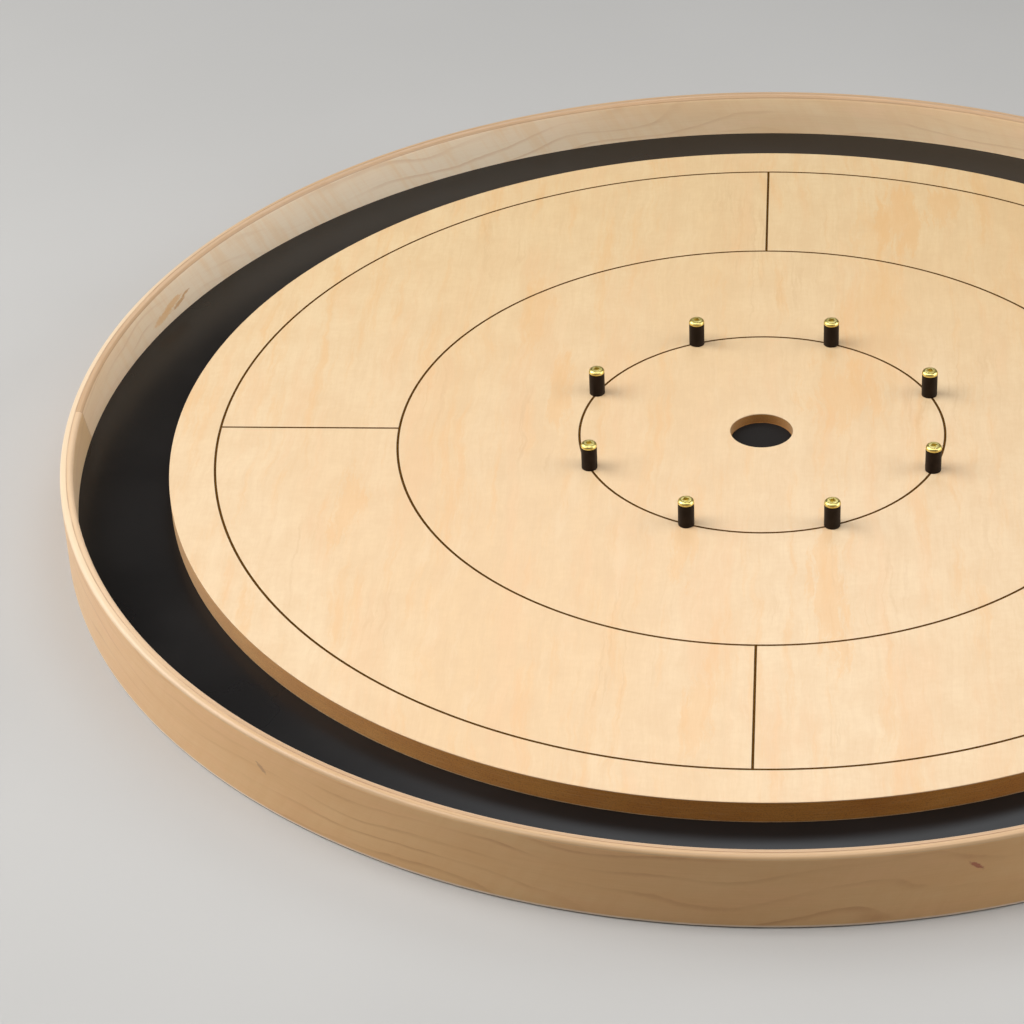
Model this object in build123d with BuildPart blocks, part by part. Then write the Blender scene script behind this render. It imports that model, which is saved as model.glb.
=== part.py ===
"""A round crokinole board: a veneered playing surface on a black-faced base, inside a bent two-ply maple rim.

Millimetres, +Z up. The origin is the centre of the board's underside, and the players' near side faces -Y.
The posts stand on the smallest scored ring, half way between the quadrant lines, which lie along X and Y.
"""
from build123d import *
import os

INCH = 25.4

# Playing surface, by the rules of the game
surface_diameter = 26 * INCH
ring_diameters = (8 * INCH, 16 * INCH, 24 * INCH)
quadrant_count = 4
hole_diameter = 1.375 * INCH
hole_depth = 0.25 * INCH

# Scored lines
line_width = 1.4
line_depth = 0.15

# Layers, from the table up
facing_thickness = 0.4
base_core_thickness = 15.0
veneer_thickness = 0.5
surface_core_thickness = 11.2

# Ditch and bent rim
ditch_width = 51.3
ply_thickness = 3.7
rim_rise = 14.8
rim_top_round = 2.4
rim_foot_round = 1.4

# Felt disc pressed into a slightly tighter recess in the floor of the centre hole
pad_thickness = 0.65
pad_step = 0.25

# Posts
post_count = 8
sleeve_diameter = 8.8
sleeve_height = 13.8
sleeve_edge_round = 0.35
post_head_diameter = 8.9
post_head_height = 2.3
post_head_round = 1.9
post_screw_length = 1.25 * INCH

# Wood screws
shank_diameter = 4.2
thread_root_diameter = 2.9
thread_pitch = 2.6
thread_crest = 0.4
tip_length = 3.6
drive_width = 2.8
drive_depth = 1.5

# Hidden screws that draw the playing surface down onto the base
fixing_count = 8
fixing_ring_radius = 250.0
fixing_length = 22.0
fixing_head_diameter = 8.2
fixing_head_height = 2.4
fixing_head_rim = 0.3

# Heights and radii that follow from the sizes above
base_core_bottom = facing_thickness
base_core_top = base_core_bottom + base_core_thickness
ditch_floor = base_core_top + facing_thickness
surface_core_bottom = ditch_floor + veneer_thickness
surface_core_top = surface_core_bottom + surface_core_thickness
surface_top = surface_core_top + veneer_thickness
rim_height = surface_top + rim_rise
recess_floor = surface_top - hole_depth
hole_floor = recess_floor + pad_thickness
pad_radius = hole_diameter / 2 - pad_step
surface_radius = surface_diameter / 2
base_radius = surface_radius + ditch_width
glue_line_radius = base_radius + ply_thickness
board_radius = glue_line_radius + ply_thickness
post_ring_radius = ring_diameters[0] / 2
post_start_angle = 360 / post_count / 2

os.makedirs("parts", exist_ok=True)


def write(shape, name):
    """Label a finished piece and store it."""
    shape.label = name
    export_step(shape, f"parts/{name}.step")


def cut_threads(screws):
    """Take the screws' own form out of the part being built, as they do when driven into wood."""
    for screw in screws:
        add(screw, mode=Mode.SUBTRACT)


def threaded_profile(length, plain_length):
    """Right-hand edge of a screw below its head: plain shank, thread ridges, pointed tip, z downwards."""
    crest_radius = shank_diameter / 2
    root_radius = thread_root_diameter / 2
    flank = (thread_pitch - thread_crest) / 2
    points = [(crest_radius, 0), (crest_radius, -plain_length)]
    ridge_count = int((length - tip_length - plain_length) // thread_pitch)
    for ridge in range(ridge_count):
        start = plain_length + ridge * thread_pitch
        points.append((root_radius, -(start + flank)))
        points.append((crest_radius, -(start + 2 * flank)))
        points.append((crest_radius, -(start + thread_pitch)))
    points.append((root_radius, -(length - tip_length)))
    points.append((0, -length))
    return points


# Pan-head post screw, standing on its own axis with the underside of the head at z = 0
head_radius = post_head_diameter / 2
with BuildPart() as pan_screw:
    with BuildSketch(Plane.XZ):
        with BuildLine():
            shank = threaded_profile(post_screw_length, sleeve_height + veneer_thickness)
            Polyline((0, post_head_height), (head_radius - post_head_round, post_head_height))
            RadiusArc((head_radius - post_head_round, post_head_height),
                      (head_radius, post_head_height - post_head_round), post_head_round)
            Polyline((head_radius, post_head_height - post_head_round), (head_radius, 0), *shank,
                     (0, post_head_height))
        make_face()
    revolve(axis=Axis.Z)
    with BuildSketch(Plane.XY.offset(post_head_height)):
        Rectangle(drive_width, drive_width)
    extrude(amount=-drive_depth, taper=6, mode=Mode.SUBTRACT)

# Rubber post sleeve, a length of tube with eased ends
with BuildPart() as rubber_sleeve:
    with BuildSketch():
        Circle(sleeve_diameter / 2)
        Circle(shank_diameter / 2, mode=Mode.SUBTRACT)
    extrude(amount=sleeve_height)
    outer_edges = edges().filter_by(GeomType.CIRCLE).filter_by(lambda edge: edge.radius > shank_diameter)
    fillet(outer_edges, sleeve_edge_round)

# Countersunk screw, driven upwards, its head's flat at z = 0. The wood is cut to its form without the drive.
with BuildPart() as flat_form:
    with BuildSketch(Plane.XZ):
        with BuildLine():
            plain = fixing_head_height + base_core_thickness - thread_pitch
            below_head = threaded_profile(fixing_length, plain)
            upwards = [(radius, -height) for radius, height in below_head[1:]]
            Polyline((0, 0), (fixing_head_diameter / 2, 0), (fixing_head_diameter / 2, fixing_head_rim),
                     (shank_diameter / 2, fixing_head_height), *upwards, (0, 0))
        make_face()
    revolve(axis=Axis.Z)

with BuildPart() as flat_screw:
    add(flat_form.part)
    with BuildSketch():
        Rectangle(drive_width, drive_width)
    extrude(amount=drive_depth, taper=6, mode=Mode.SUBTRACT)

# The eight posts, each a screw through its own sleeve
post_screws = []
for number in range(post_count):
    angle = post_start_angle + number * 360 / post_count
    with BuildPart() as post_sleeve:
        with Locations(Plane.XY.offset(surface_top)):
            with PolarLocations(post_ring_radius, 1, start_angle=angle):
                add(rubber_sleeve.part)
    write(post_sleeve.part, f"post_sleeve_{number + 1}")
    with BuildPart() as post_screw:
        with Locations(Plane.XY.offset(surface_top + sleeve_height)):
            with PolarLocations(post_ring_radius, 1, start_angle=angle):
                add(pan_screw.part)
    write(post_screw.part, f"post_screw_{number + 1}")
    post_screws.append(post_screw.part)

# Fixing screws from the underside, one group
with BuildPart() as surface_fixing_screws:
    with Locations(Plane.XY.offset(base_core_bottom)):
        with PolarLocations(fixing_ring_radius, fixing_count):
            add(flat_screw.part)
write(surface_fixing_screws.part, "surface_fixing_screws")

with BuildPart() as fixing_forms:
    with Locations(Plane.XY.offset(base_core_bottom)):
        with PolarLocations(fixing_ring_radius, fixing_count):
            add(flat_form.part)
fixings = [fixing_forms.part]

# Maple veneer with the scored rings and quadrant lines
with BuildPart() as playing_surface_veneer:
    with BuildSketch(Plane.XY.offset(surface_core_top)):
        Circle(surface_radius)
        Circle(hole_diameter / 2, mode=Mode.SUBTRACT)
    extrude(amount=veneer_thickness)
    with BuildSketch(Plane.XY.offset(surface_top)):
        for ring_diameter in ring_diameters:
            Circle((ring_diameter + line_width) / 2)
            Circle((ring_diameter - line_width) / 2, mode=Mode.SUBTRACT)
        middle_radius, outer_radius = ring_diameters[1] / 2, ring_diameters[2] / 2
        with PolarLocations((middle_radius + outer_radius) / 2, quadrant_count):
            Rectangle(outer_radius - middle_radius, line_width)
    extrude(amount=-line_depth, mode=Mode.SUBTRACT)
    cut_threads(post_screws)
write(playing_surface_veneer.part, "playing_surface_veneer")

# Fibreboard core with the centre hole's blind pocket and the pad's recess in its floor
with BuildPart() as playing_surface_core:
    with BuildSketch(Plane.XY.offset(surface_core_bottom)):
        Circle(surface_radius)
    extrude(amount=surface_core_thickness)
    with BuildSketch(Plane.XY.offset(hole_floor)):
        Circle(hole_diameter / 2)
    extrude(amount=surface_core_top - hole_floor, mode=Mode.SUBTRACT)
    with BuildSketch(Plane.XY.offset(recess_floor)):
        Circle(pad_radius)
    extrude(amount=pad_thickness, mode=Mode.SUBTRACT)
    cut_threads(post_screws + fixings)
write(playing_surface_core.part, "playing_surface_core")

# Backing veneer, which keeps the core flat
with BuildPart() as playing_surface_backer:
    with BuildSketch(Plane.XY.offset(ditch_floor)):
        Circle(surface_radius)
    extrude(amount=veneer_thickness)
    cut_threads(post_screws + fixings)
write(playing_surface_backer.part, "playing_surface_backer")

# Felt disc that fills the recess and is the floor of the centre hole
with BuildPart() as centre_hole_pad:
    with BuildSketch(Plane.XY.offset(recess_floor)):
        Circle(pad_radius)
    extrude(amount=pad_thickness)
write(centre_hole_pad.part, "centre_hole_pad")

# Base board: a core between two black facings, the upper one showing as the ditch
with BuildPart() as base_board:
    with BuildSketch(Plane.XY.offset(base_core_bottom)):
        Circle(base_radius)
    extrude(amount=base_core_thickness)
    cut_threads(post_screws + fixings)
write(base_board.part, "base_board")

with BuildPart() as ditch_facing:
    with BuildSketch(Plane.XY.offset(base_core_top)):
        Circle(base_radius)
    extrude(amount=facing_thickness)
    cut_threads(post_screws + fixings)
write(ditch_facing.part, "ditch_facing")

with BuildPart() as underside_facing:
    with BuildSketch():
        Circle(base_radius)
        with PolarLocations(fixing_ring_radius, fixing_count):
            Circle(fixing_head_diameter / 2, mode=Mode.SUBTRACT)
    extrude(amount=facing_thickness)
write(underside_facing.part, "underside_facing")

# Bent rim, two plies glued face to face round the base
with BuildPart() as rim_inner_ply:
    with BuildSketch(Plane.XZ):
        with Locations(((base_radius + glue_line_radius) / 2, rim_height / 2)):
            Rectangle(ply_thickness, rim_height)
        inner_top = vertices().group_by(Axis.Z)[-1].sort_by(Axis.X)[0]
        fillet(inner_top, rim_top_round)
    revolve(axis=Axis.Z)
write(rim_inner_ply.part, "rim_inner_ply")

with BuildPart() as rim_outer_ply:
    with BuildSketch(Plane.XZ):
        with Locations(((glue_line_radius + board_radius) / 2, rim_height / 2)):
            Rectangle(ply_thickness, rim_height)
        outer_top = vertices().group_by(Axis.Z)[-1].sort_by(Axis.X)[-1]
        fillet(outer_top, rim_top_round)
        outer_foot = vertices().group_by(Axis.Z)[0].sort_by(Axis.X)[-1]
        fillet(outer_foot, rim_foot_round)
    revolve(axis=Axis.Z)
write(rim_outer_ply.part, "rim_outer_ply")
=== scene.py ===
"""The looks of the crokinole board: fine round meshes over the CAD frame, in procedural materials.

Metres, in the CAD frame: origin under the board's middle, +Z up, near side towards -Y.
"""
from math import asin, atan2, cos, hypot, pi, radians, sin

import bpy
from mathutils import Matrix, Vector


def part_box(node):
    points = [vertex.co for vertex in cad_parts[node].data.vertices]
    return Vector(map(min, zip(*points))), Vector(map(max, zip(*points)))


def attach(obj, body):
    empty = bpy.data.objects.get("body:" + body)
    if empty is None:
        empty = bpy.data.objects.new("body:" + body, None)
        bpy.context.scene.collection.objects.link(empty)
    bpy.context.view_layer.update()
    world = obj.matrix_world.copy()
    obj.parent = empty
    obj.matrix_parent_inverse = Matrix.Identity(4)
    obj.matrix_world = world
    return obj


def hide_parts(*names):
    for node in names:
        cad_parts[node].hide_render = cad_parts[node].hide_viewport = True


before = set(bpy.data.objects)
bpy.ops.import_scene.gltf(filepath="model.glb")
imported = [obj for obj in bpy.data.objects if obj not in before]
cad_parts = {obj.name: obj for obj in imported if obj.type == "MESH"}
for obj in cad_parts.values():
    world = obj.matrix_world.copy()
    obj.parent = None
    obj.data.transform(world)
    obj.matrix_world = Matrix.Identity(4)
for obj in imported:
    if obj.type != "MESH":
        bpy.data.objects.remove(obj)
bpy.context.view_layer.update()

MM = 0.001
BODY = "root"
ROUND_SEGMENTS = 720
PAD_SEGMENTS = 120
VENEER_COLUMNS = 512
UP = Vector((0, 0, 1))

# Sizes of the board's own detail
LINE_WIDTH = 1.4 * MM
LINE_DEPTH = 0.15 * MM
LINE_WALL = 0.06 * MM
RING_RADII = (101.6 * MM, 203.2 * MM, 304.8 * MM)
HOLE_RADIUS = 17.4625 * MM
HOLE_DEPTH = 5.7 * MM
EDGE_EASE = 0.12 * MM
GLUE_GROOVE = 0.16 * MM
RIM_TOP_ROUND = 2.4 * MM
RIM_FOOT_ROUND = 1.4 * MM
ROUND_STEPS = 8

# Lean of the scarf joints, where each ply's ends meet
SCARF_LEAN = 0.54

# Wood colours, linear
CREAM = (0.725, 0.518, 0.305)
PALE_CREAM = (0.745, 0.572, 0.372)
SHADED_CREAM = (0.655, 0.455, 0.268)
WARM_STREAK = (0.715, 0.432, 0.205)
PINK_STREAK = (0.725, 0.465, 0.265)
BROWN_LINE = (0.500, 0.285, 0.130)
GLUE_LINE = (0.330, 0.165, 0.085)
RED_BROWN = (0.350, 0.065, 0.030)
MINERAL_BROWN = (0.400, 0.210, 0.090)
AMBER_STAIN = (0.870, 0.535, 0.245)
BROWN_STAIN = (0.640, 0.335, 0.120)
# Painted shade, multiplied into the veneer towards its far end and its right side
PAINTED_SHADE_FAR = (0.995, 0.970, 0.850)
PAINTED_SHADE_RIGHT = (0.965, 0.935, 0.880)
# Painted light: a pale stretch of the inner ply's face
PAINTED_LIGHT_TONE = (0.990, 0.860, 0.665)
# Painted highlight along the rim's foot
PAINTED_FOOT_LIGHT = (0.920, 0.760, 0.620)

# Warm flames in the veneer: x, y, half width and half length in metres, and strength
FLAMES = (
    (0.043, 0.040, 0.018, 0.034, 0.42),
    (0.082, 0.243, 0.012, 0.040, 0.50),
    (0.108, 0.258, 0.008, 0.024, 0.45),
    (0.066, 0.135, 0.015, 0.110, 0.26),
    (0.038, -0.158, 0.009, 0.062, 0.45),
    (-0.040, -0.112, 0.006, 0.036, 0.42),
    (-0.028, -0.260, 0.007, 0.036, 0.34),
    (-0.115, 0.038, 0.007, 0.034, 0.45),
    (-0.136, 0.130, 0.008, 0.036, 0.34),
    (-0.224, -0.082, 0.008, 0.030, 0.42),
    (0.215, -0.060, 0.012, 0.060, 0.38),
    (0.262, 0.105, 0.010, 0.048, 0.34),
    (0.170, -0.215, 0.011, 0.042, 0.38),
)

# The rim's bent plies, with angles from +X.
# scarf_angle is where the ply's ends meet, and end_tint deepens the wood on one side of that joint.
# tone is the face's colour and edge_tone the top's; about one angle at the left the top is paler, as a
# painted highlight.
# offset picks the noise and figure is the strength of the growth lines. The inner ply also has a stretch of
# its face painted paler about one angle at the far left, as painted light.
# A fleck is its angle, height, half length and half height in mm, slope and colour.
INNER_PLY = {
    "scarf_angle": 180.0,
    "tone": (0.975, 0.745, 0.470),
    "end_tint": (0.78, 0.67, 0.44),
    "edge_tone": (0.480, 0.295, 0.158),
    "painted_highlight_tone": (0.700, 0.500, 0.320),
    "painted_highlight_angle": 188.0,
    "painted_light_angle": 136.0,
    "offset": 2.7,
    "figure": 0.38,
    "sheen": 0.42,
    "flecks": (
        (160.3, 24.2, 11.0, 2.6, 0.10, AMBER_STAIN),
        (158.6, 27.4, 10.0, 2.4, 0.12, AMBER_STAIN),
        (157.5, 24.0, 7.0, 1.3, 0.20, BROWN_STAIN),
        (156.4, 27.0, 4.5, 0.9, 0.18, BROWN_STAIN),
        (331.0, 32.0, 2.4, 0.9, 0.30, RED_BROWN),
    ),
}
OUTER_PLY = {
    "scarf_angle": 38.0,
    "tone": (0.712, 0.436, 0.190),
    "end_tint": (0.95, 0.90, 0.84),
    "edge_tone": (0.540, 0.350, 0.190),
    "painted_highlight_tone": (0.780, 0.620, 0.430),
    "painted_highlight_angle": 186.0,
    "offset": 0.9,
    "figure": 0.55,
    "sheen": 0.22,
    "flecks": (
        (232.0, 25.7, 4.0, 1.0, 0.50, MINERAL_BROWN),
        (285.6, 28.7, 4.4, 1.0, 0.50, RED_BROWN),
        (24.0, 18.0, 2.8, 1.0, 0.25, MINERAL_BROWN),
        (121.0, 27.0, 2.2, 0.8, 0.35, RED_BROWN),
    ),
}

# Camera
CAMERA_AZIMUTH = 0.8
CAMERA_ELEVATION = 32.429
CAMERA_DISTANCE = 1.8763
VIEW_HEADING = -5.916
VIEW_DEPRESSION = 33.715
VIEW_ROLL = -2.808
LENS_MM = 117.95

# Lights: name, place, size, watts and colour
LIGHTS = (
    ("left_softbox", (-1.75, 0.02, 1.25), (1.8, 1.8), 48, (1.0, 1.0, 1.0)),
    ("right_softbox", (1.85, -0.10, 0.78), (1.8, 1.3), 25, (1.0, 1.0, 1.0)),
    ("overhead_strip", (0.0, -0.38, 0.90), (1.3, 0.35), 6.0, (1.0, 1.0, 1.0)),
    ("back_softbox", (0.10, 1.25, 1.50), (0.9, 0.8), 5.8, (0.90, 0.95, 1.0)),
)
FLOOR_RADIUS = 6.0
FLOOR_GAP = 0.1 * MM
FLOOR_DEPTH = 0.05
FLOOR_SEGMENTS = 96
ROOM_COLOUR = (1.0, 0.94, 0.86)
ROOM_STRENGTH = 0.07


def low(node):
    """Lowest corner of a CAD node."""
    return Vector(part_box(node)[0])


def high(node):
    """Highest corner of a CAD node."""
    return Vector(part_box(node)[1])


SURFACE_RADIUS = high("playing_surface_core").x
SURFACE_TOP = high("playing_surface_veneer").z
CORE_TOP = high("playing_surface_core").z
CORE_BOTTOM = low("playing_surface_core").z
DITCH_FLOOR = high("ditch_facing").z
BASE_RADIUS = high("ditch_facing").x
GLUE_RADIUS = high("rim_inner_ply").x
BOARD_RADIUS = high("rim_outer_ply").x
RIM_TOP = high("rim_outer_ply").z
RIM_FOOT = low("rim_outer_ply").z


# ---------------------------------------------------------------- node materials

class Shader:
    """A node material being built. Each method adds a node and returns its output socket."""

    def __init__(self, name):
        self.material = bpy.data.materials.new(name)
        self.material.use_nodes = True
        self.tree = self.material.node_tree
        self.surface = self.tree.nodes["Principled BSDF"]

    def feed(self, socket, value):
        """Link a socket, or set a plain value."""
        if isinstance(value, bpy.types.NodeSocket):
            self.tree.links.new(value, socket)
        elif isinstance(value, tuple) and socket.type == "RGBA" and len(value) == 3:
            socket.default_value = (*value, 1.0)
        else:
            socket.default_value = value

    def node(self, kind, inputs, **settings):
        """Add a node of this kind, with its settings and its inputs by name or number."""
        made = self.tree.nodes.new("ShaderNode" + kind)
        for key, value in settings.items():
            setattr(made, key, value)
        for key, value in inputs.items():
            self.feed(made.inputs[key], value)
        return made

    def set(self, **values):
        """Set the surface shader's inputs, with underscores for the spaces in their names."""
        for key, value in values.items():
            self.feed(self.surface.inputs[key.replace("_", " ")], value)

    def math(self, operation, first, second=0.0, clamp=False):
        made = self.node("Math", {0: first, 1: second}, operation=operation, use_clamp=clamp)
        return made.outputs[0]

    def position(self):
        return self.node("TexCoord", {}).outputs["Object"]

    def stretched(self, vector, scale):
        """The vector with each axis multiplied, so that a texture has this many cells a metre."""
        return self.node("VectorMath", {0: vector, 1: scale}, operation="MULTIPLY").outputs[0]

    def shifted(self, vector, offset):
        return self.node("VectorMath", {0: vector, 1: offset}, operation="ADD").outputs[0]

    def parts(self, vector):
        """The x, y and z sockets of a vector."""
        return self.node("SeparateXYZ", {0: vector}).outputs[:3]

    def joined(self, x, y, z):
        return self.node("CombineXYZ", {0: x, 1: y, 2: z}).outputs[0]

    def noise(self, vector, detail=2.0, roughness=0.5, distortion=0.0):
        """Noise from 0 to 1 about 0.5, one cell for each unit of the vector."""
        inputs = {"Vector": vector, "Scale": 1.0, "Detail": detail, "Roughness": roughness,
                  "Distortion": distortion}
        return self.node("TexNoise", inputs).outputs["Fac"]

    def span(self, value, start, end, low_value=0.0, high_value=1.0):
        """A smooth step: low_value where value is at start, high_value where it is at end."""
        inputs = {"Value": value, "From Min": start, "From Max": end,
                  "To Min": low_value, "To Max": high_value}
        return self.node("MapRange", inputs, interpolation_type="SMOOTHSTEP").outputs["Result"]

    def mix(self, factor, first, second, blend="MIX"):
        """A mix of two colours."""
        made = self.node("Mix", {0: factor, 6: first, 7: second}, data_type="RGBA", blend_type=blend)
        return made.outputs[2]

    def apart(self, value, centre):
        """How far a value is from this centre, as a positive number."""
        return self.math("ABSOLUTE", self.math("SUBTRACT", value, centre))

    def spot(self, first, second, place, half_size, ragged):
        """1 in an ellipse on the plane of two sockets and 0 outside it. A third socket breaks up its edge."""
        across = self.math("MULTIPLY", self.math("SUBTRACT", first, place[0]), 1 / half_size[0])
        down = self.math("MULTIPLY", self.math("SUBTRACT", second, place[1]), 1 / half_size[1])
        offset = self.joined(across, down, 0.0)
        distance = self.node("VectorMath", {0: offset}, operation="LENGTH").outputs["Value"]
        return self.span(self.math("ADD", distance, ragged), 1.30, 0.70)

    def from_axis(self, x, y):
        """Distance from the board's axis."""
        return self.node("VectorMath", {0: self.joined(x, y, 0.0)}, operation="LENGTH").outputs["Value"]

    def bump(self, height, depth):
        """Bump of this depth in metres."""
        return self.node("Bump", {"Height": height, "Distance": depth}).outputs["Normal"]


def round_the_rim(shader, scarf_angle):
    """Sockets for the way along, up and out of a bent ply. The way along starts and ends at its joint."""
    turned = shader.node("VectorRotate", {"Vector": shader.position(), "Angle": pi - radians(scarf_angle)},
                         rotation_type="Z_AXIS").outputs[0]
    x, y, z = shader.parts(turned)
    angle = shader.math("ARCTAN2", y, x)
    lean = shader.math("MULTIPLY", shader.math("SUBTRACT", z, SURFACE_TOP), SCARF_LEAN)
    way = shader.math("SUBTRACT", shader.math("MULTIPLY", angle, GLUE_RADIUS), lean)
    half_round = pi * GLUE_RADIUS
    along = shader.node("Math", {0: way, 1: half_round, 2: -half_round}, operation="WRAP").outputs[0]
    return along, z, shader.from_axis(x, y)


def way_along(angle, height, scarf_angle):
    """The way along a bent ply to this angle from +X and this height, in the same measure."""
    return radians((angle - scarf_angle) % 360 - 180) * GLUE_RADIUS - SCARF_LEAN * (height - SURFACE_TOP)


def maple_veneer():
    """Pale rotary-cut maple under satin lacquer: grain along Y, ragged warm streaks, flames and mottling."""
    s = Shader("maple_veneer")
    at = s.position()
    x, y, z = s.parts(at)
    # grain that wanders sideways, so that streaks and flames have ragged sides
    sway = s.math("SUBTRACT", s.noise(s.stretched(at, (16, 16, 16)), 5, 0.62), 0.5)
    bent = s.joined(s.math("ADD", x, s.math("MULTIPLY", sway, 0.018)), y, z)
    colour = s.mix(s.span(s.noise(s.stretched(bent, (9, 2.4, 9)), 2), 0.3, 0.7), CREAM, PALE_CREAM)
    # leaves of veneer, each a little lighter or darker than the next
    leaf = s.math("FLOOR", s.math("MULTIPLY", s.math("ADD", x, 0.0133), 1 / 0.112))
    leaf_tone = s.node("TexWhiteNoise", {"W": leaf}, noise_dimensions="1D").outputs["Value"]
    colour = s.mix(s.math("MULTIPLY", leaf_tone, 0.30), colour, PALE_CREAM)
    # mottling, fine strands along the grain, and short ray fleck
    mottle = s.noise(s.stretched(bent, (60, 40, 40)), 4, 0.6)
    colour = s.mix(s.span(mottle, 0.35, 0.68, 0.0, 0.40), colour, SHADED_CREAM)
    strands = s.noise(s.stretched(bent, (330, 16, 60)), 4, 0.65)
    colour = s.mix(s.span(strands, 0.35, 0.70, 0.0, 0.32), colour, SHADED_CREAM)
    rays = s.noise(s.stretched(at, (170, 300, 400)), 4, 0.65)
    colour = s.mix(s.span(rays, 0.35, 0.70, 0.0, 0.24), colour, SHADED_CREAM)
    # warm and pink streaks along the grain
    warm = s.span(s.noise(s.stretched(bent, (95, 8, 60)), 5, 0.68), 0.50, 0.70)
    colour = s.mix(s.math("MULTIPLY", warm, 0.50), colour, WARM_STREAK)
    pink = s.span(s.noise(s.stretched(s.shifted(bent, (3.1, 0, 0)), (50, 6, 60)), 5, 0.65), 0.50, 0.66)
    colour = s.mix(s.math("MULTIPLY", pink, 0.34), colour, PINK_STREAK)
    pale = s.span(s.noise(s.stretched(s.shifted(bent, (5.7, 0, 0)), (70, 11, 60)), 5, 0.68), 0.52, 0.72)
    colour = s.mix(s.math("MULTIPLY", pale, 0.50), colour, PALE_CREAM)
    # flames: short ragged patches of warmer wood
    torn = s.math("SUBTRACT", s.noise(s.stretched(bent, (150, 20, 60)), 6, 0.75), 0.5)
    ragged = s.math("MULTIPLY", torn, 5.0)
    for flame_x, flame_y, half_width, half_length, strength in FLAMES:
        flame = s.spot(x, y, (flame_x, flame_y), (half_width, half_length), ragged)
        colour = s.mix(s.math("MULTIPLY", flame, strength), colour, WARM_STREAK)
    # fine wavy brown lines, here and there
    line_field = s.apart(s.noise(s.stretched(bent, (55, 3, 60)), 4, 0.6), 0.5)
    here_and_there = s.span(s.noise(s.stretched(at, (20, 7, 24)), 3), 0.55, 0.68)
    lines = s.math("MULTIPLY", s.span(line_field, 0.022, 0.003), here_and_there)
    colour = s.mix(s.math("MULTIPLY", lines, 0.15), colour, BROWN_LINE)
    # fibres and pores
    fibres = s.noise(s.stretched(at, (2600, 75, 400)), 3, 0.65)
    colour = s.mix(s.span(fibres, 0.35, 0.72, 0.0, 0.06), colour, BROWN_LINE)
    pores = s.span(s.noise(s.stretched(at, (1500, 260, 400)), 2), 0.70, 0.80)
    colour = s.mix(s.math("MULTIPLY", pores, 0.12), colour, BROWN_LINE)
    # painted shade: the wood is darkened slowly towards its far end, and darkened and warmed towards its
    # right side, where less light falls
    colour = s.mix(s.span(y, -0.12, 0.32), colour, PAINTED_SHADE_FAR, "MULTIPLY")
    colour = s.mix(s.span(x, 0.04, 0.24), colour, PAINTED_SHADE_RIGHT, "MULTIPLY")
    s.set(Base_Color=colour, Roughness=s.span(fibres, 0.3, 0.7, 0.38, 0.48),
          Specular_IOR_Level=0.38, Normal=s.bump(fibres, 0.012 * MM))
    s.set(Coat_Weight=0.10, Coat_Roughness=0.30)
    return s.material


def scored_line():
    """Dark brown line cut through the lacquer."""
    s = Shader("scored_line")
    grain = s.noise(s.stretched(s.position(), (900, 500, 400)), 3, 0.6)
    s.set(Base_Color=s.mix(s.span(grain, 0.3, 0.7), (0.066, 0.028, 0.006), (0.108, 0.050, 0.013)),
          Roughness=s.span(grain, 0.3, 0.7, 0.60, 0.80), Normal=s.bump(grain, 0.03 * MM))
    s.set(Specular_IOR_Level=0.0)
    return s.material


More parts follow.
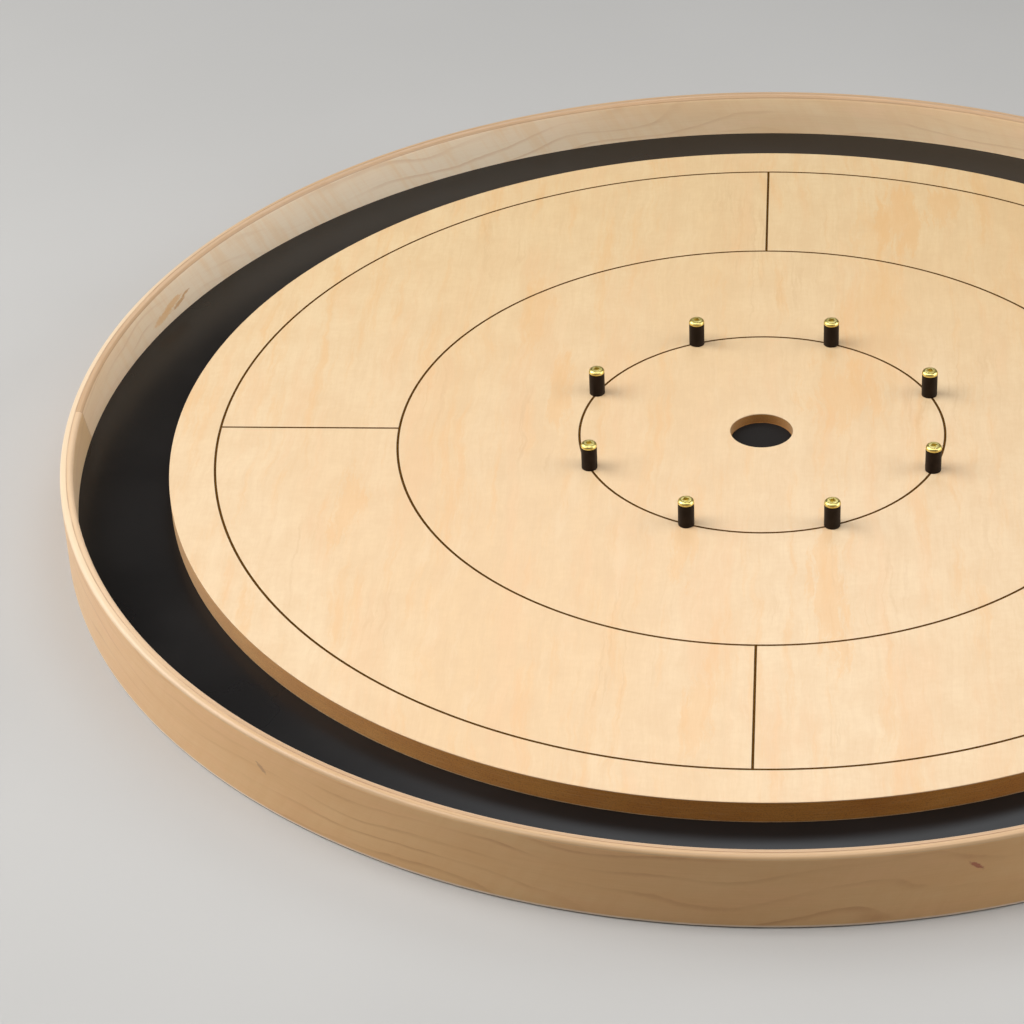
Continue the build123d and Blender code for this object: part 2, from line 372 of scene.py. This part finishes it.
def bent_maple(name, scarf_angle, tone, end_tint, edge_tone, painted_highlight_tone, painted_highlight_angle, offset, figure, flecks,
               sheen, painted_light_angle=None):
    """Flat-sawn maple bent round the rim: wavy growth lines, faint curl, and straight edge grain on top."""
    s = Shader(name)
    warm, pink, growth = (tuple(part * scale for part, scale in zip(tone, shade))
                          for shade in ((0.94, 0.86, 0.78), (1.0, 0.93, 0.92), (0.66, 0.48, 0.36)))
    along, across, radius = round_the_rim(s, scarf_angle)
    ply = s.joined(along, across, radius)
    here = s.shifted(ply, (offset, 0.3 * offset, 0))
    # broad tone, with pinkish zones
    colour = s.mix(s.span(s.noise(s.stretched(here, (7, 30, 40)), 4, 0.6), 0.3, 0.7), tone, warm)
    pink_zones = s.noise(s.stretched(here, (16, 70, 40)), 4, 0.65)
    colour = s.mix(s.span(pink_zones, 0.45, 0.65, 0.0, 0.8), colour, pink)
    # painted light: the face is paler over a stretch about one angle at the far left, where light falls
    # brighter
    if painted_light_angle is not None:
        painted_light_way = way_along(painted_light_angle, SURFACE_TOP, scarf_angle)
        painted_light = s.span(s.apart(along, painted_light_way), 0.32, 0.08, 0.0, 0.85)
        colour = s.mix(painted_light, colour, PAINTED_LIGHT_TONE)
    # growth lines: level lines of a field drawn out along the strip, broken and uneven
    sway = s.math("SUBTRACT", s.noise(s.stretched(here, (70, 90, 60)), 5, 0.65), 0.5)
    field = s.math("ADD", s.math("MULTIPLY", s.noise(s.stretched(here, (5.5, 14, 12)), 2, 0.4), 7),
                   s.math("MULTIPLY", across, 75))
    rings = s.math("FRACT", s.math("ADD", field, s.math("MULTIPLY", sway, 0.22)))
    late_wood = s.math("MULTIPLY", s.span(rings, 0.72, 0.94), s.span(rings, 1.0, 0.95))
    strength = s.span(s.noise(s.stretched(here, (14, 50, 40)), 3), 0.40, 0.66, 0.1 * figure, figure)
    colour = s.mix(s.math("MULTIPLY", late_wood, strength), colour, growth)
    # curl: soft bars across the grain
    curl = s.noise(s.stretched(here, (170, 22, 20)), 3, 0.6)
    colour = s.mix(s.span(curl, 0.40, 0.70, 0.0, 0.40), colour, warm)
    fibres = s.noise(s.stretched(here, (60, 2400, 2400)), 3, 0.65)
    colour = s.mix(s.span(fibres, 0.35, 0.75, 0.0, 0.10), colour, growth)
    # the strip's first end, from a darker part of the plank
    first_end = -pi * GLUE_RADIUS
    colour = s.mix(s.span(along, first_end + 0.50, first_end + 0.12), colour, end_tint, "MULTIPLY")
    # edge grain on the top and its rounding: straighter and a little pink
    edge_streaks = s.noise(s.stretched(here, (9, 900, 900)), 3, 0.6)
    edge_light, edge_dark = (tuple(part * scale for part in edge_tone) for scale in (1.10, 0.88))
    edge_colour = s.mix(s.span(edge_streaks, 0.3, 0.7), edge_light, edge_dark)
    # painted highlight: the top and its rounding are paler about one angle at the left, where the left light
    # falls on them
    from_painted_highlight = s.apart(along, way_along(painted_highlight_angle, RIM_TOP, scarf_angle))
    edge_colour = s.mix(s.span(from_painted_highlight, 0.34, 0.10, 0.0, 0.85), edge_colour, painted_highlight_tone)
    top = s.span(across, RIM_TOP - 2.1 * MM, RIM_TOP - 1.6 * MM)
    colour = s.mix(s.math("MULTIPLY", top, 0.90), colour, edge_colour)
    # painted highlight: the foot is paler, as if lit by light from the floor
    foot = s.span(across, RIM_FOOT + 2.2 * MM, RIM_FOOT + 1.2 * MM)
    colour = s.mix(s.math("MULTIPLY", foot, 0.85), colour, PAINTED_FOOT_LIGHT)
    # brown flecks in the figure
    torn = s.math("SUBTRACT", s.noise(s.stretched(ply, (500, 900, 700)), 3), 0.5)
    ragged = s.math("MULTIPLY", torn, 1.4)
    for fleck_angle, height, half_length, half_height, slope, fleck_colour in flecks:
        way = way_along(fleck_angle, height * MM, scarf_angle)
        sloping = s.math("ADD", across, s.math("MULTIPLY", along, slope))
        place = (way, height * MM + slope * way)
        fleck = s.spot(along, sloping, place, (half_length * MM, half_height * MM), ragged)
        colour = s.mix(s.math("MULTIPLY", fleck, 0.80), colour, fleck_colour)
    # the glue line between the plies, seen on the rim's top
    glue = s.math("MULTIPLY", s.span(s.apart(radius, GLUE_RADIUS), 0.45 * MM, 0.15 * MM),
                  s.span(s.noise(s.stretched(ply, (22, 1, 1)), 3, 0.6), 0.35, 0.60, 0.15, 0.65))
    colour = s.mix(glue, colour, GLUE_LINE)
    # the scarf joint, a fine line across the strip
    from_end = s.math("SUBTRACT", GLUE_RADIUS * pi, s.math("ABSOLUTE", along))
    colour = s.mix(s.math("MULTIPLY", s.span(from_end, 0.30 * MM, 0.12 * MM), 0.7), colour, GLUE_LINE)
    s.set(Base_Color=colour, Roughness=s.span(fibres, 0.3, 0.7, 0.36, 0.48), Specular_IOR_Level=0.42,
          Normal=s.bump(fibres, 0.015 * MM))
    s.set(Coat_Weight=0.16, Coat_Roughness=0.28)
    s.set(Sheen_Weight=sheen, Sheen_Roughness=0.45, Sheen_Tint=(1.0, 0.94, 0.84))
    return s.material


def fibreboard():
    """Brown fibreboard, sanded along its edge and sealed."""
    s = Shader("fibreboard")
    at = s.position()
    x, y, z = s.parts(at)
    along = s.math("MULTIPLY", s.math("ARCTAN2", y, x), SURFACE_RADIUS)
    sanding = s.noise(s.joined(s.math("MULTIPLY", along, 55), s.math("MULTIPLY", z, 1700), 0.0), 3, 0.6)
    speckle = s.noise(s.stretched(at, (1300, 1300, 1700)), 4, 0.7)
    patches = s.noise(s.stretched(at, (28, 28, 90)), 3)
    colour = s.mix(s.span(patches, 0.3, 0.7), (0.440, 0.160, 0.010), (0.510, 0.212, 0.022))
    colour = s.mix(s.span(speckle, 0.46, 0.68, 0.0, 0.7), colour, (0.230, 0.082, 0.014))
    colour = s.mix(s.span(sanding, 0.45, 0.75, 0.0, 0.40), colour, (0.620, 0.340, 0.110))
    # painted shade: the centre hole's wall is darkened, as shade in its recess
    painted_hole_shade = s.span(s.from_axis(x, y), 2.0 * HOLE_RADIUS, 1.5 * HOLE_RADIUS, 0.0, 0.50)
    colour = s.mix(painted_hole_shade, colour, (0.200, 0.082, 0.020))
    s.set(Base_Color=colour, Roughness=s.span(speckle, 0.3, 0.7, 0.48, 0.66), Specular_IOR_Level=0.22,
          Normal=s.bump(s.math("ADD", speckle, sanding), 0.025 * MM))
    s.set(Sheen_Weight=0.52, Sheen_Roughness=0.5, Sheen_Tint=(1.0, 0.90, 0.66))
    return s.material


def black_melamine():
    """Satin black melamine with a fine moulded texture and a little dust."""
    s = Shader("black_melamine")
    at = s.position()
    texture = s.noise(s.stretched(at, (700, 700, 700)), 2)
    cloud = s.noise(s.stretched(at, (14, 14, 14)), 3)
    spots = s.node("TexVoronoi", {"Vector": s.stretched(at, (26, 26, 26)), "Scale": 1.0}).outputs
    chosen = s.span(s.parts(spots["Color"])[0], 0.80, 0.82)
    dust = s.math("MULTIPLY", s.span(spots["Distance"], 0.016, 0.008), chosen)
    colour = s.mix(s.span(cloud, 0.3, 0.7), (0.0066, 0.0060, 0.0060), (0.0096, 0.0086, 0.0084))
    colour = s.mix(s.math("MULTIPLY", dust, 0.5), colour, (0.16, 0.15, 0.14))
    s.set(Base_Color=colour, Roughness=s.span(cloud, 0.3, 0.7, 0.27, 0.33), Specular_IOR_Level=0.30,
          Normal=s.bump(texture, 0.006 * MM))
    return s.material


def black_rubber():
    """Smooth black rubber tube, faintly drawn along its length."""
    s = Shader("black_rubber")
    at = s.position()
    drawn = s.noise(s.stretched(at, (2600, 2600, 120)), 3, 0.6)
    bloom = s.noise(s.stretched(at, (260, 260, 160)), 3)
    colour = s.mix(s.span(bloom, 0.35, 0.7), (0.0085, 0.0038, 0.0018), (0.0150, 0.0078, 0.0045))
    s.set(Base_Color=colour, Roughness=s.span(drawn, 0.3, 0.7, 0.42, 0.56), Specular_IOR_Level=0.14,
          Normal=s.bump(drawn, 0.02 * MM))
    return s.material


def brass():
    """Bright turned brass with fine tool marks and a few dull patches."""
    s = Shader("brass")
    at = s.position()
    marks = s.noise(s.stretched(at, (900, 900, 5200)), 2)
    tarnish = s.noise(s.stretched(at, (420, 420, 420)), 3, 0.6)
    colour = s.mix(s.span(tarnish, 0.35, 0.72), (0.800, 0.670, 0.250), (0.620, 0.490, 0.140))
    s.set(Base_Color=colour, Metallic=1.0, Roughness=s.span(tarnish, 0.3, 0.7, 0.30, 0.42),
          Normal=s.bump(marks, 0.004 * MM))
    return s.material


def zinc_steel():
    """Zinc-plated screw steel with a slight yellow passivate."""
    s = Shader("zinc_steel")
    mottled = s.noise(s.stretched(s.position(), (700, 700, 700)), 3)
    colour = s.mix(s.span(mottled, 0.3, 0.7), (0.60, 0.61, 0.62), (0.66, 0.63, 0.52))
    s.set(Base_Color=colour, Metallic=1.0, Roughness=s.span(mottled, 0.3, 0.7, 0.28, 0.42),
          Normal=s.bump(mottled, 0.01 * MM))
    return s.material


def black_felt():
    """Thin pressed black felt."""
    s = Shader("black_felt")
    fibre = s.noise(s.stretched(s.position(), (2400, 2400, 2400)), 4, 0.7, 1.2)
    s.set(Base_Color=s.mix(s.span(fibre, 0.35, 0.7), (0.0070, 0.0056, 0.0050), (0.0130, 0.0106, 0.0092)),
          Roughness=s.span(fibre, 0.3, 0.7, 0.75, 0.95), Normal=s.bump(fibre, 0.08 * MM))
    s.set(Specular_IOR_Level=0.25)
    return s.material


def backing_veneer():
    """Plain pale veneer on the underside of the playing surface, seen only at its edge."""
    s = Shader("backing_veneer")
    grain = s.noise(s.stretched(s.position(), (420, 40, 900)), 3)
    s.set(Base_Color=s.mix(s.span(grain, 0.3, 0.7), (0.42, 0.27, 0.14), (0.56, 0.38, 0.21)),
          Roughness=0.6, Normal=s.bump(grain, 0.02 * MM))
    return s.material


def particle_board():
    """Raw chips of the base's core, seen only down the screw recesses."""
    s = Shader("particle_board")
    chips = s.noise(s.stretched(s.position(), (300, 300, 300)), 4, 0.7)
    s.set(Base_Color=s.mix(s.span(chips, 0.35, 0.65), (0.34, 0.22, 0.11), (0.60, 0.44, 0.26)),
          Roughness=0.85, Normal=s.bump(chips, 0.08 * MM))
    return s.material


def floor_paint():
    """Plain pale floor with the faintest mottle."""
    s = Shader("floor_paint")
    mottled = s.noise(s.stretched(s.position(), (3, 3, 3)), 3)
    s.set(Base_Color=s.mix(s.span(mottled, 0.3, 0.7), (0.46, 0.452, 0.438), (0.48, 0.472, 0.458)),
          Roughness=0.8, Specular_IOR_Level=0.2)
    return s.material


# ---------------------------------------------------------------- meshes

def arc(centre, radius, start, end, steps=ROUND_STEPS):
    """Profile points on an arc, angles in degrees from the outward direction."""
    points = []
    for step in range(steps + 1):
        angle = radians(start + (end - start) * step / steps)
        points.append((centre[0] + radius * cos(angle), centre[1] + radius * sin(angle)))
    return points


def piece_from(name, vertices, faces, materials, face_slots=None):
    """A smooth-shaded mesh piece. Edges sharper than 40 degrees are kept crisp."""
    mesh = bpy.data.meshes.new(name)
    mesh.from_pydata(vertices, [], faces)
    for material in materials:
        mesh.materials.append(material)
    if face_slots:
        mesh.polygons.foreach_set("material_index", face_slots)
    mesh.polygons.foreach_set("use_smooth", [True] * len(faces))
    mesh.set_sharp_from_angle(angle=radians(40))
    mesh.update()
    piece = bpy.data.objects.new(name, mesh)
    bpy.context.collection.objects.link(piece)
    return piece


def lathe(name, profile, material, segments=ROUND_SEGMENTS):
    """A solid of revolution from (radius, height) points, anticlockwise with the radius to the right.

    The profile is a closed ring, or runs from a point on the axis to another point on the axis.
    """
    on_axis = profile[0][0] == 0
    rings = profile[1:-1] if on_axis else profile
    vertices = []
    for radius, height in rings:
        for segment in range(segments):
            angle = 2 * pi * segment / segments
            vertices.append((radius * cos(angle), radius * sin(angle), height))
    faces = []
    spans = len(rings) - 1 if on_axis else len(rings)
    for ring in range(spans):
        here = ring * segments
        there = (ring + 1) % len(rings) * segments
        for segment in range(segments):
            after = (segment + 1) % segments
            faces.append((here + segment, here + after, there + after, there + segment))
    if on_axis:
        first, last = len(vertices), len(vertices) + 1
        vertices.append((0, 0, profile[0][1]))
        vertices.append((0, 0, profile[-1][1]))
        top = (len(rings) - 1) * segments
        for segment in range(segments):
            after = (segment + 1) % segments
            faces.append((first, after, segment))
            faces.append((last, top + segment, top + after))
    return piece_from(name, vertices, faces, [material])


def stand_for(piece, node):
    """Hand a finished piece to the frame in place of a CAD node."""
    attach(piece, BODY)
    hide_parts(node)


def column_angles():
    """The veneer's columns, each the angle as a function of the radius and whether it is on a line's floor.

    Four columns follow each quadrant line, and keep its width.
    """
    half, floor_half = LINE_WIDTH / 2, LINE_WIDTH / 2 - LINE_WALL
    steady_radius = 0.75 * RING_RADII[1]
    columns = []
    for column in range(VENEER_COLUMNS):
        angle = 2 * pi * column / VENEER_COLUMNS
        if column % (VENEER_COLUMNS // 4):
            columns.append((lambda radius, angle=angle: angle, False))
            continue
        for offset, in_line in ((-half, False), (-floor_half, True), (floor_half, True), (half, False)):
            columns.append((lambda radius, angle=angle, offset=offset:
                            angle + asin(offset / max(radius, steady_radius)), in_line))
    return columns


def veneer_rings():
    """Radii of the veneer's rings, each with whether it lies on the floor of a scored ring."""
    half, floor_half = LINE_WIDTH / 2, LINE_WIDTH / 2 - LINE_WALL
    rings = [(HOLE_RADIUS + EDGE_EASE, False), (HOLE_RADIUS + 4 * EDGE_EASE, False)]
    for ring_radius in RING_RADII:
        rings.append((ring_radius - half, False))
        rings.append((ring_radius - floor_half, True))
        rings.append((ring_radius + floor_half, True))
        rings.append((ring_radius + half, False))
    rings.append((SURFACE_RADIUS - 4 * EDGE_EASE, False))
    rings.append((SURFACE_RADIUS - EDGE_EASE, False))
    return rings


def make_veneer(wood, line):
    """The veneer, with its scored rings and quadrant lines cut into it."""
    columns = column_angles()
    floor_height = SURFACE_TOP - LINE_DEPTH
    line_start, line_end = RING_RADII[1], RING_RADII[2]
    rings = []
    for radius, on_floor in veneer_rings():
        between = line_start < radius < line_end
        rings.append([(radius, floor_height if on_floor or (in_line and between) else SURFACE_TOP)
                      for _, in_line in columns])
    outside = [(SURFACE_RADIUS, SURFACE_TOP - EDGE_EASE), (SURFACE_RADIUS, CORE_TOP)]
    inside = [(HOLE_RADIUS, CORE_TOP), (HOLE_RADIUS, SURFACE_TOP - EDGE_EASE)]
    rings += [[point] * len(columns) for point in outside + inside]
    vertices = []
    for ring in rings:
        for (radius, height), (angle_at, _) in zip(ring, columns):
            angle = angle_at(radius)
            vertices.append((radius * cos(angle), radius * sin(angle), height))
    faces, face_slots = [], []
    count = len(columns)
    for ring in range(len(rings)):
        here, there = ring * count, (ring + 1) % len(rings) * count
        for column in range(count):
            after = (column + 1) % count
            face = (here + column, there + column, there + after, here + after)
            scored = len({round(vertices[corner][2], 7) for corner in face} & {round(floor_height, 7)})
            faces.append(face)
            face_slots.append(1 if scored else 0)
    return piece_from("surface_veneer", vertices, faces, [wood, line], face_slots)


def make_core(material):
    """The fibreboard core, with the centre hole's pocket."""
    floor = SURFACE_TOP - HOLE_DEPTH
    pad_radius, recess = high("centre_hole_pad").x, low("centre_hole_pad").z
    profile = [(0, CORE_BOTTOM), (0.5 * SURFACE_RADIUS, CORE_BOTTOM),
               (SURFACE_RADIUS - EDGE_EASE, CORE_BOTTOM), (SURFACE_RADIUS, CORE_BOTTOM + EDGE_EASE),
               (SURFACE_RADIUS, CORE_TOP), (HOLE_RADIUS, CORE_TOP), (HOLE_RADIUS, floor),
               (pad_radius, floor), (pad_radius, recess), (0, recess)]
    return lathe("surface_core", profile, material)


def make_backer(material):
    """The backing veneer under the core."""
    profile = [(0, DITCH_FLOOR), (0.5 * SURFACE_RADIUS, DITCH_FLOOR),
               (SURFACE_RADIUS - EDGE_EASE, DITCH_FLOOR), (SURFACE_RADIUS, DITCH_FLOOR + EDGE_EASE),
               (SURFACE_RADIUS, CORE_BOTTOM), (0, CORE_BOTTOM)]
    return lathe("surface_backer", profile, material)


def make_pad(material):
    """The felt disc on the centre hole's floor, pressed thinner at its cut edge."""
    radius, bottom, top = high("centre_hole_pad").x, low("centre_hole_pad").z, high("centre_hole_pad").z
    profile = [(0, bottom), (radius, bottom), (radius, top - 2 * EDGE_EASE),
               (radius - EDGE_EASE, top - EDGE_EASE), (radius - 5 * EDGE_EASE, top - 0.3 * EDGE_EASE),
               (0.6 * radius, top), (0, top)]
    return lathe("hole_pad", profile, material, PAD_SEGMENTS)


def make_ditch(material):
    """The black facing of the base, seen as the ditch."""
    bottom = low("ditch_facing").z
    profile = [(0, bottom), (BASE_RADIUS, bottom), (BASE_RADIUS, DITCH_FLOOR),
               (0.5 * (SURFACE_RADIUS + BASE_RADIUS), DITCH_FLOOR), (0.9 * SURFACE_RADIUS, DITCH_FLOOR),
               (0, DITCH_FLOOR)]
    return lathe("ditch_floor", profile, material)


def make_inner_ply(material):
    """The rim's inner ply, its inner top edge rounded, with a fine groove at the glue line."""
    top_centre = (BASE_RADIUS + RIM_TOP_ROUND, RIM_TOP - RIM_TOP_ROUND)
    profile = [(BASE_RADIUS, RIM_FOOT), (GLUE_RADIUS, RIM_FOOT), (GLUE_RADIUS, RIM_TOP - GLUE_GROOVE),
               (GLUE_RADIUS - GLUE_GROOVE, RIM_TOP), (GLUE_RADIUS - 3 * GLUE_GROOVE, RIM_TOP)]
    profile += arc(top_centre, RIM_TOP_ROUND, 90, 180)
    profile.append((BASE_RADIUS, RIM_TOP - 1.3 * RIM_TOP_ROUND))
    return lathe("rim_inside_ply", profile, material)


def make_outer_ply(material):
    """The rim's outer ply, its outer top edge rounded and its foot eased."""
    top_centre = (BOARD_RADIUS - RIM_TOP_ROUND, RIM_TOP - RIM_TOP_ROUND)
    foot_centre = (BOARD_RADIUS - RIM_FOOT_ROUND, RIM_FOOT + RIM_FOOT_ROUND)
    profile = [(GLUE_RADIUS, RIM_FOOT)]
    profile += arc(foot_centre, RIM_FOOT_ROUND, -90, 0)
    profile.append((BOARD_RADIUS, foot_centre[1] + 0.4 * RIM_FOOT_ROUND))
    profile.append((BOARD_RADIUS, top_centre[1] - 0.4 * RIM_FOOT_ROUND))
    profile += arc(top_centre, RIM_TOP_ROUND, 0, 90, 2 * ROUND_STEPS)
    profile += [(GLUE_RADIUS + GLUE_GROOVE, RIM_TOP), (GLUE_RADIUS, RIM_TOP - GLUE_GROOVE)]
    return lathe("rim_outside_ply", profile, material)


# ---------------------------------------------------------------- studio

def make_floor():
    """A wide flat floor, just under the board. Its profile runs clockwise, so its faces point inwards."""
    profile = [(0, -FLOOR_GAP), (FLOOR_RADIUS, -FLOOR_GAP), (FLOOR_RADIUS, -FLOOR_DEPTH), (0, -FLOOR_DEPTH)]
    lathe("floor", profile, floor_paint(), FLOOR_SEGMENTS)


def make_light(name, place, size, watts, colour):
    """A soft rectangular light, aimed at the playing surface's middle."""
    data = bpy.data.lights.new(name, "AREA")
    data.shape = "RECTANGLE"
    data.size, data.size_y = size
    data.energy = watts
    data.color = colour
    light = bpy.data.objects.new(name, data)
    light.location = place
    light.rotation_euler = (SURFACE_TOP * UP - Vector(place)).to_track_quat("-Z", "Y").to_euler()
    bpy.context.collection.objects.link(light)


def make_lights():
    """Softboxes at both sides, overhead and behind, in a dim room."""
    for light in LIGHTS:
        make_light(*light)
    world = bpy.data.worlds.new("studio")
    world.use_nodes = True
    background = world.node_tree.nodes["Background"]
    background.inputs["Color"].default_value = (*ROOM_COLOUR, 1.0)
    background.inputs["Strength"].default_value = ROOM_STRENGTH
    bpy.context.scene.world = world


def make_camera():
    """The camera, across the board from the near side, a little to the right of it."""
    data = bpy.data.cameras.new("camera")
    data.sensor_width = 36
    data.lens = LENS_MM
    data.clip_start, data.clip_end = 0.05, 50
    camera = bpy.data.objects.new("camera", data)
    place = Vector((0, -CAMERA_DISTANCE * cos(radians(CAMERA_ELEVATION)),
                    CAMERA_DISTANCE * sin(radians(CAMERA_ELEVATION))))
    place = Matrix.Rotation(radians(CAMERA_AZIMUTH), 3, "Z") @ place + SURFACE_TOP * UP
    turn = (Matrix.Rotation(radians(-VIEW_HEADING), 3, "Z")
            @ Matrix.Rotation(radians(90 - VIEW_DEPRESSION), 3, "X")
            @ Matrix.Rotation(radians(VIEW_ROLL), 3, "Z"))
    camera.matrix_world = Matrix.Translation(place) @ turn.to_4x4()
    bpy.context.collection.objects.link(camera)
    bpy.context.scene.camera = camera


# ---------------------------------------------------------------- the board

def dress(node, material):
    """Give a CAD node a finished material."""
    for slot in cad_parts[node].material_slots:
        slot.material = material


melamine = black_melamine()
inner_maple = bent_maple("bent_maple_inner", **INNER_PLY)
outer_maple = bent_maple("bent_maple_outer", **OUTER_PLY)

stand_for(make_veneer(maple_veneer(), scored_line()), "playing_surface_veneer")
stand_for(make_core(fibreboard()), "playing_surface_core")
stand_for(make_backer(backing_veneer()), "playing_surface_backer")
stand_for(make_pad(black_felt()), "centre_hole_pad")
stand_for(make_ditch(melamine), "ditch_facing")
stand_for(make_inner_ply(inner_maple), "rim_inner_ply")
stand_for(make_outer_ply(outer_maple), "rim_outer_ply")

rubber, bright_brass = black_rubber(), brass()
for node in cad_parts:
    if node.startswith("post_sleeve"):
        dress(node, rubber)
    elif node.startswith("post_screw"):
        dress(node, bright_brass)
dress("base_board", particle_board())
dress("underside_facing", melamine)
dress("surface_fixing_screws", zinc_steel())

make_floor()
make_lights()
make_camera()
bpy.context.scene.view_settings.view_transform = "Standard"
